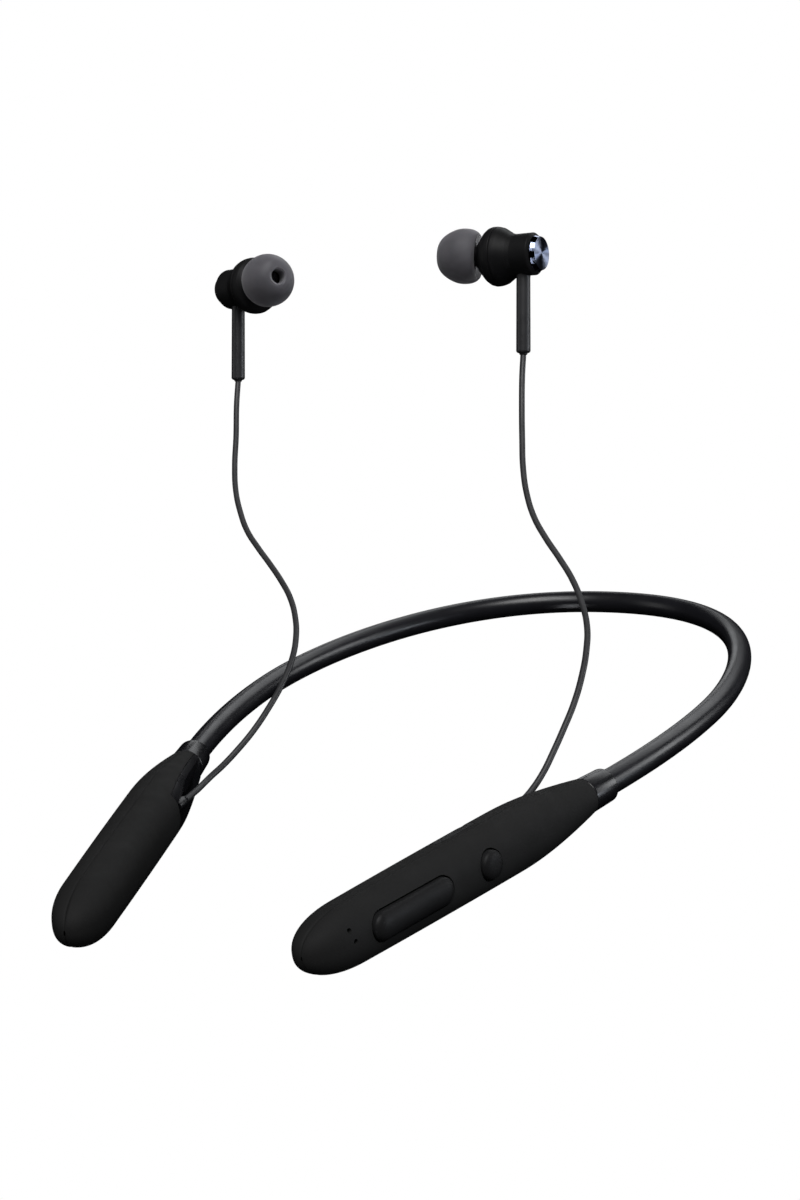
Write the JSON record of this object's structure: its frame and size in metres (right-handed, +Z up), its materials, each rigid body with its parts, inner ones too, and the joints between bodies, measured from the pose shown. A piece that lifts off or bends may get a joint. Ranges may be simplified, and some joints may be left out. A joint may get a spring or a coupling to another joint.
{
  "type": "neckband earphones",
  "caption": "Wireless neckband earphones: sprung tube for the neck, a weighted housing on each arm end, and corded in-ear earbuds.",
  "frame": {"origin": "the inner side of the nape bend, where the band rests on the back of the neck, on the middle plane", "axes": "+Z up as worn, -Y forwards along the arms to the housings, +X to the wearer's left, the side with the controls"},
  "size_m": [0.1337, 0.2098, 0.1356],
  "materials": {
    "band_skin": "satin silicone skin",
    "spring_steel": "bare spring wire",
    "cord_jacket": "satin elastomer jacket",
    "board": "solder-masked laminate",
    "chip": "moulded package",
    "port_metal": "stamped steel",
    "light_pipe": "clear moulded pipe",
    "keys": "matte soft-touch",
    "cell": "foil pouch",
    "collar_gloss": "polished",
    "shell": "matte soft-touch paint",
    "stem": "satin",
    "earbud_shell": "matte",
    "cap_metal": "spun and polished, cool tint",
    "mesh": "woven wire",
    "ear_tip": "matte translucent-grey silicone"
  },
  "bodies": {
    "band": {"band_tube": "band_skin", "spring_wire": "spring_steel", "band_cable": "cord_jacket"},
    "left_arm": {"left_collar": "collar_gloss", "left_outer_shell": "shell", "left_inner_shell": "shell", "left_cord_grommet": "collar_gloss", "circuit_board": "board", "bluetooth_module": "chip", "charging_port": "port_metal", "microphone": "port_metal", "status_light": "light_pipe", "volume_up_switch": "port_metal", "volume_down_switch": "port_metal", "function_switch": "port_metal", "left_cord": "cord_jacket"},
    "volume_rocker": {"volume_rocker": "keys"},
    "function_button": {"function_button": "keys"},
    "port_flap": {"port_flap": "keys"},
    "left_earbud": {"left_stem": "stem", "left_rear_housing": "earbud_shell", "left_front_housing": "earbud_shell", "left_metal_cap": "cap_metal", "left_driver": "port_metal", "left_nozzle_mesh": "mesh"},
    "left_ear_tip": {"left_ear_tip": "ear_tip"},
    "right_arm": {"right_collar": "collar_gloss", "right_outer_shell": "shell", "right_inner_shell": "shell", "right_cord_grommet": "collar_gloss", "battery": "cell", "battery_board": "board", "right_cord": "cord_jacket"},
    "right_earbud": {"right_stem": "stem", "right_rear_housing": "earbud_shell", "right_front_housing": "earbud_shell", "right_metal_cap": "cap_metal", "right_driver": "port_metal", "right_nozzle_mesh": "mesh"},
    "right_ear_tip": {"right_ear_tip": "ear_tip"}
  },
  "joints": [
    {"name": "left_arm_flex", "type": "hinge", "parent": "band", "child": "left_arm", "pos_m": [0.0326, -0.0132, -0.00265], "axis": [0, 0, 1], "range_deg": [-4, 10], "stiffness_Nm_per_rad": 0.6, "deforming": ["band_tube", "spring_wire", "band_cable"]},
    {"name": "right_arm_flex", "type": "hinge", "parent": "band", "child": "right_arm", "pos_m": [-0.0326, -0.0132, -0.00265], "axis": [0, 0, -1], "range_deg": [-4, 10], "stiffness_Nm_per_rad": 0.6, "deforming": ["band_tube", "spring_wire", "band_cable"]},
    {"name": "volume_rocker_tilt", "type": "hinge", "parent": "left_arm", "child": "volume_rocker", "pos_m": [0.0341, -0.18283, -0.03834], "axis": [-0.0585, -0.2137, 0.9751], "range_deg": [-2.8, 2.8], "stiffness_Nm_per_rad": 0.04},
    {"name": "function_button_press", "type": "slide", "parent": "left_arm", "child": "function_button", "axis": [-0.9646, 0.2639, 0], "range_m": [0, 0.00035], "stiffness_N_per_m": 1000},
    {"name": "port_flap_hinge", "type": "hinge", "parent": "left_arm", "child": "port_flap", "pos_m": [0.0335, -0.15734, -0.02694], "axis": [-0.9646, 0.2639, 0], "range_deg": [0, 100]},
    {"name": "left_earbud_turn", "type": "hinge", "parent": "left_arm", "child": "left_earbud", "pos_m": [0.0048, -0.06477, 0.0601], "axis": [-0.0419, 0.0871, 0.9953], "range_deg": [-90, 90], "stiffness_Nm_per_rad": 0.0001},
    {"name": "right_earbud_turn", "type": "hinge", "parent": "right_arm", "child": "right_earbud", "pos_m": [-0.0723, -0.05477, 0.0542], "axis": [-0.0419, 0.0871, 0.9953], "range_deg": [-90, 90], "stiffness_Nm_per_rad": 0.0001},
    {"name": "left_ear_tip_pull", "type": "slide", "parent": "left_earbud", "child": "left_ear_tip", "axis": [-0.9816, -0.1888, 0.0278], "range_m": [0, 0.007]},
    {"name": "right_ear_tip_pull", "type": "slide", "parent": "right_earbud", "child": "right_ear_tip", "axis": [0.784, -0.605, 0.1385], "range_m": [0, 0.007]}
  ]
}
